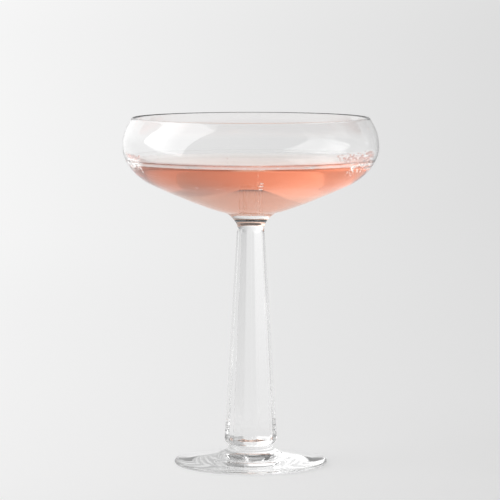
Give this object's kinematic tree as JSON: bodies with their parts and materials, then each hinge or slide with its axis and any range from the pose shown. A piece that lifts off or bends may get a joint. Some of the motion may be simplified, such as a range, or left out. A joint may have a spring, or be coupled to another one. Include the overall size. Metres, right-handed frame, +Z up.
{
  "type": "glass of champagne",
  "caption": "Wide shallow coupe of clear glass on a tall faceted stem and round foot, filled part way with pink sparkling wine.",
  "frame": {"origin": "on the table under the middle of the foot", "axes": "+Z up along the stem, -Y towards the viewer of the picture, +X to that viewer's right"},
  "size_m": [0.1138, 0.1138, 0.1546],
  "materials": {
    "clear_glass": "clear, fire polished, colourless",
    "pink_wine": "clear salmon pink liquid"
  },
  "bodies": {
    "root": {"glass": "clear_glass", "champagne": "pink_wine"}
  },
  "joints": []
}
